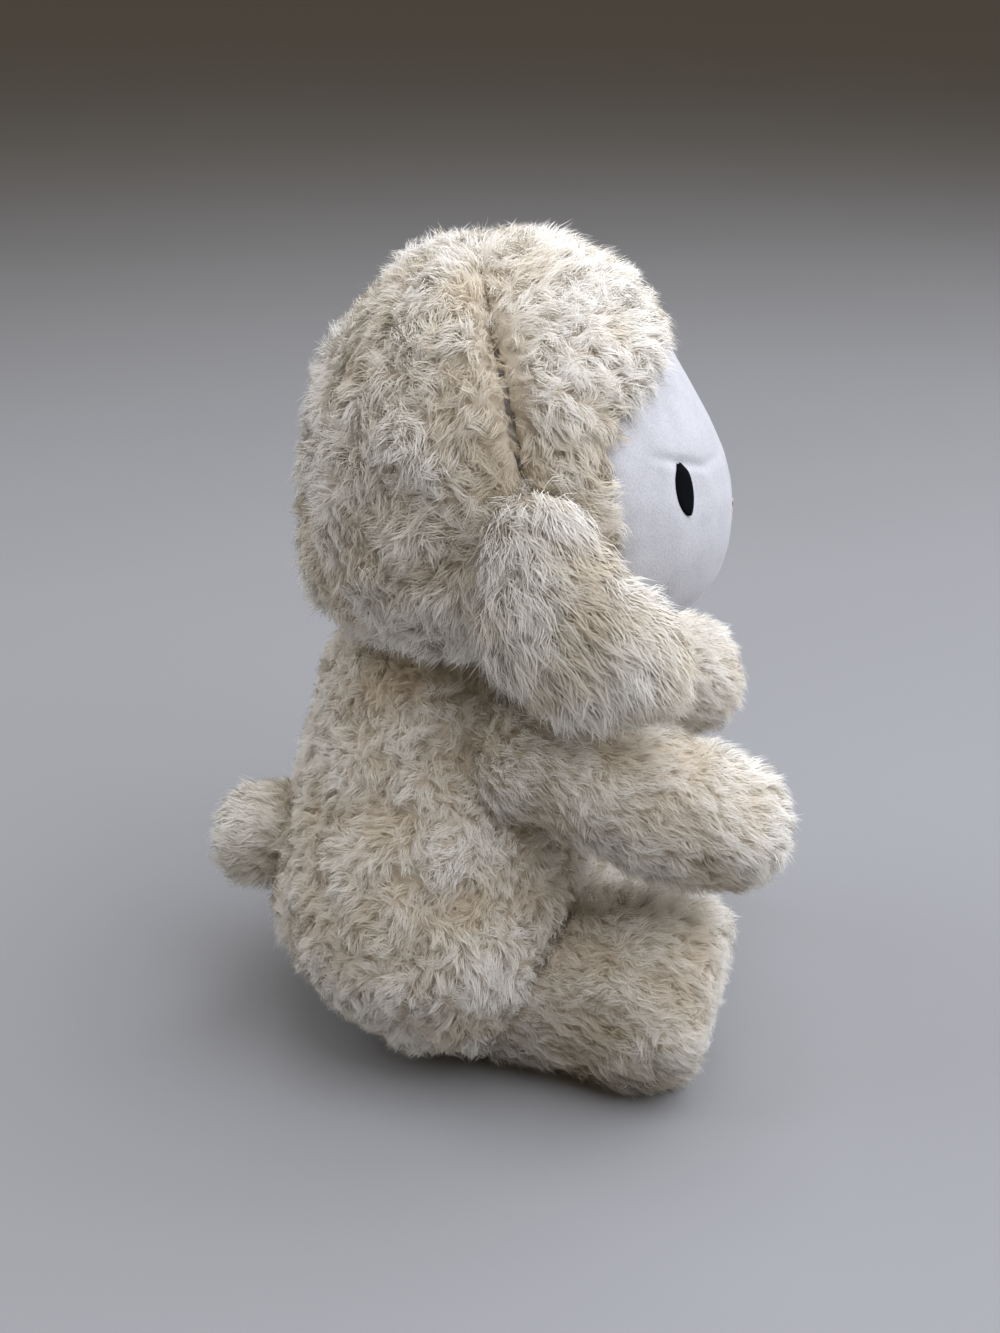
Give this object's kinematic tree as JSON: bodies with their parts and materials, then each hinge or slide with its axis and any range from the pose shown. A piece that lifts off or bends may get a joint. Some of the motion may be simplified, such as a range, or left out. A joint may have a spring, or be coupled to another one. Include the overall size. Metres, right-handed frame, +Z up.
{
  "type": "plush sheep",
  "caption": "Seated plush sheep with long curly-pile fur skins over stuffing, a smooth face panel, hanging ears, forward arms, splayed legs and a stub tail.",
  "frame": {"origin": "centre of the bounding box's base, on the surface that the sheep sits on", "axes": "+Z up, -Y forward where the face looks, +X towards the sheep's own left side"},
  "size_m": [0.1418, 0.162, 0.2435],
  "materials": {
    "fur_cloth": "long cream pile",
    "velvet_cloth": "short smooth pile",
    "polyester_stuffing": "loose fibre",
    "bag_cloth": "plain woven",
    "eye_thread": "satin stitch",
    "nose_thread": "satin stitch"
  },
  "bodies": {
    "torso": {"torso_skin": "fur_cloth", "torso_filling": "polyester_stuffing", "pellet_bag": "bag_cloth"},
    "head": {"head_back_panel": "fur_cloth", "brow_band": "fur_cloth", "face_panel": "velvet_cloth", "head_filling": "polyester_stuffing", "right_eye": "eye_thread", "left_eye": "eye_thread", "nose_stitching": "nose_thread"},
    "right_ear": {"right_ear": "fur_cloth", "right_ear_lining": "velvet_cloth"},
    "left_ear": {"left_ear": "fur_cloth", "left_ear_lining": "velvet_cloth"},
    "right_arm": {"right_arm_skin": "fur_cloth", "right_arm_filling": "polyester_stuffing"},
    "left_arm": {"left_arm_skin": "fur_cloth", "left_arm_filling": "polyester_stuffing"},
    "right_leg": {"right_leg_skin": "fur_cloth", "right_sole": "velvet_cloth", "right_leg_filling": "polyester_stuffing"},
    "left_leg": {"left_leg_skin": "fur_cloth", "left_sole": "velvet_cloth", "left_leg_filling": "polyester_stuffing"},
    "tail": {"tail_skin": "fur_cloth", "tail_filling": "polyester_stuffing"}
  },
  "joints": [
    {"name": "neck_nod", "type": "hinge", "parent": "torso", "child": "head", "pos_m": [0, 0.0105, 0.131], "axis": [1, 0, 0], "range_deg": [-8, 8], "stiffness_Nm_per_rad": 2.5},
    {"name": "right_ear_flap", "type": "hinge", "parent": "head", "child": "right_ear", "pos_m": [-0.052, -0.0153, 0.186], "axis": [0, 1, 0], "range_deg": [0, 50]},
    {"name": "left_ear_flap", "type": "hinge", "parent": "head", "child": "left_ear", "pos_m": [0.052, -0.0153, 0.186], "axis": [0, -1, 0], "range_deg": [0, 50]},
    {"name": "right_arm_swing", "type": "hinge", "parent": "torso", "child": "right_arm", "pos_m": [-0.044, -0.0145, 0.105], "axis": [-1, 0, 0], "range_deg": [-10, 15], "stiffness_Nm_per_rad": 0.5},
    {"name": "left_arm_swing", "type": "hinge", "parent": "torso", "child": "left_arm", "pos_m": [0.044, -0.0145, 0.105], "axis": [-1, 0, 0], "range_deg": [-10, 15], "stiffness_Nm_per_rad": 0.5},
    {"name": "right_leg_lift", "type": "hinge", "parent": "torso", "child": "right_leg", "pos_m": [-0.03, 0, 0.03], "axis": [-1, 0, 0], "range_deg": [-10, 10], "stiffness_Nm_per_rad": 0.8},
    {"name": "left_leg_lift", "type": "hinge", "parent": "torso", "child": "left_leg", "pos_m": [0.03, 0, 0.03], "axis": [-1, 0, 0], "range_deg": [-10, 10], "stiffness_Nm_per_rad": 0.8},
    {"name": "tail_wag", "type": "hinge", "parent": "torso", "child": "tail", "pos_m": [0, 0.062, 0.061], "axis": [1, 0, 0], "range_deg": [-15, 20], "stiffness_Nm_per_rad": 0.05}
  ]
}
